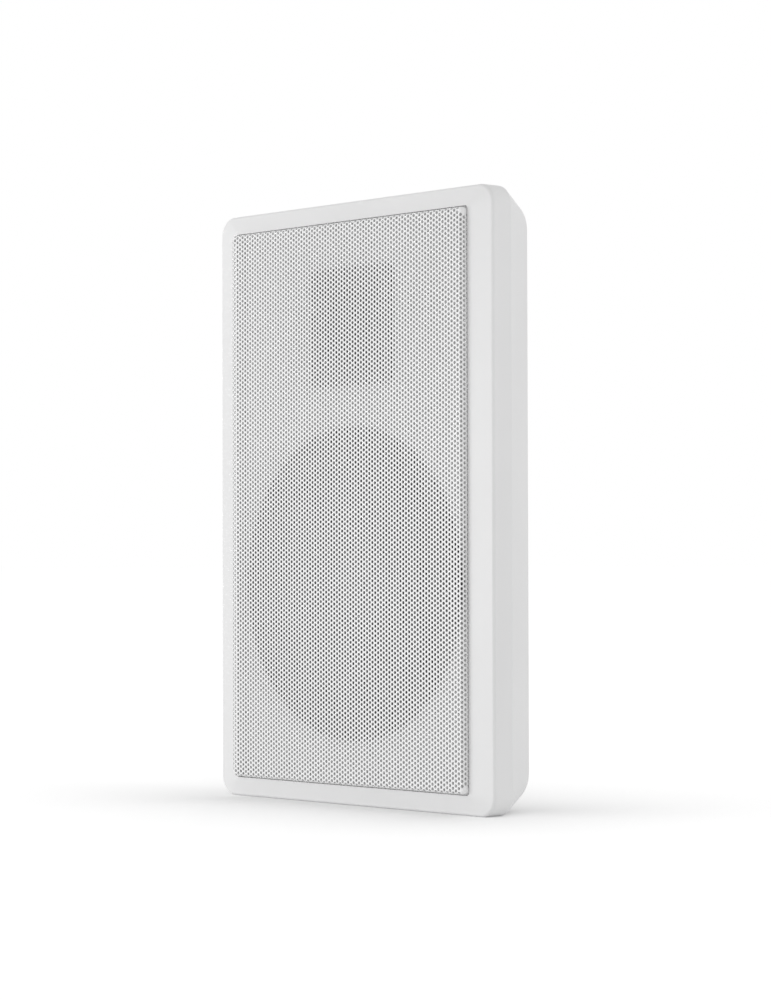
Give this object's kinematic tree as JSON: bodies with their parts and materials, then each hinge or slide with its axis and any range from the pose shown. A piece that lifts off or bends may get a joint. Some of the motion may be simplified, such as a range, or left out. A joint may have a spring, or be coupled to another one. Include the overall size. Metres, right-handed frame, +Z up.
{
  "type": "flat wall speaker",
  "caption": "Shallow wall-mounted two-way speaker: moulded box with leaning sides, framed front and a proud perforated grille over a woofer and a tweeter.",
  "frame": {"origin": "middle of the flat back of the box, in the plane of the wall", "axes": "+Z up the wall, -Y out of the front through the grille, +X to the right as seen from the front"},
  "size_m": [0.217, 0.044, 0.321],
  "materials": {
    "white_moulding": "fine satin moulding",
    "white_painted_steel": "powder coat",
    "black_painted_steel": "satin coat",
    "black_rubber": "matte",
    "black_foam": "foam",
    "cone_paper": "coated paper",
    "cap_paper": "coated paper",
    "amber_film": "film",
    "copper": "enamelled wire",
    "spider_cloth": "resin-treated cloth",
    "zinc_steel": "zinc plated",
    "black_steel": "black oxide",
    "magnet": "nickel plated",
    "fibre_board": "pressed fibre",
    "brass": "tinned brass",
    "black_moulding": "fine satin moulding",
    "red_moulding": "satin moulding",
    "dome_film": "coated dome",
    "green_laminate": "board laminate",
    "blue_sleeve": "shrink sleeve",
    "ceramic": "cement",
    "wadding": "loose wadding"
  },
  "bodies": {
    "box": {"rear_cabinet": "white_moulding", "front_frame": "white_moulding", "seal_strip": "black_foam", "cabinet_screws": "zinc_steel", "grille": "white_painted_steel", "woofer_basket": "black_painted_steel", "woofer_surround": "black_rubber", "woofer_spider": "spider_cloth", "woofer_top_plate": "zinc_steel", "woofer_magnet": "magnet", "woofer_yoke": "zinc_steel", "woofer_tag_board": "fibre_board", "woofer_tags": "brass", "woofer_gasket": "black_foam", "woofer_screws": "black_steel", "tweeter_plate": "black_moulding", "tweeter_dome": "dome_film", "tweeter_coil": "copper", "tweeter_top_plate": "zinc_steel", "tweeter_magnet": "magnet", "tweeter_yoke": "zinc_steel", "tweeter_screws": "black_steel", "crossover_board": "green_laminate", "crossover_bobbin": "black_moulding", "crossover_coil": "copper", "crossover_capacitor": "blue_sleeve", "crossover_resistor": "ceramic", "crossover_screws": "zinc_steel", "terminal_cup": "black_moulding", "terminal_block": "black_moulding", "terminal_contacts": "brass", "terminal_screws": "zinc_steel", "damping_pad": "wadding"},
    "cone_assembly": {"woofer_cone": "cone_paper", "woofer_dust_cap": "cap_paper", "woofer_former": "amber_film", "woofer_winding": "copper"},
    "red_lever": {"lever_red": "red_moulding"},
    "black_lever": {"lever_black": "black_moulding"}
  },
  "joints": [
    {"name": "cone_travel", "type": "slide", "parent": "box", "child": "cone_assembly", "axis": [0, -1, 0], "range_m": [-0.002, 0.002], "stiffness_N_per_m": 1500, "deforming": ["woofer_surround", "woofer_spider"]},
    {"name": "red_press", "type": "hinge", "parent": "box", "child": "red_lever", "pos_m": [0.0106, -0.008, 0.0675], "axis": [-1, 0, 0], "range_deg": [0, 11], "stiffness_Nm_per_rad": 0.05},
    {"name": "black_press", "type": "hinge", "parent": "box", "child": "black_lever", "pos_m": [-0.0106, -0.008, 0.0675], "axis": [-1, 0, 0], "range_deg": [0, 11], "stiffness_Nm_per_rad": 0.05}
  ]
}
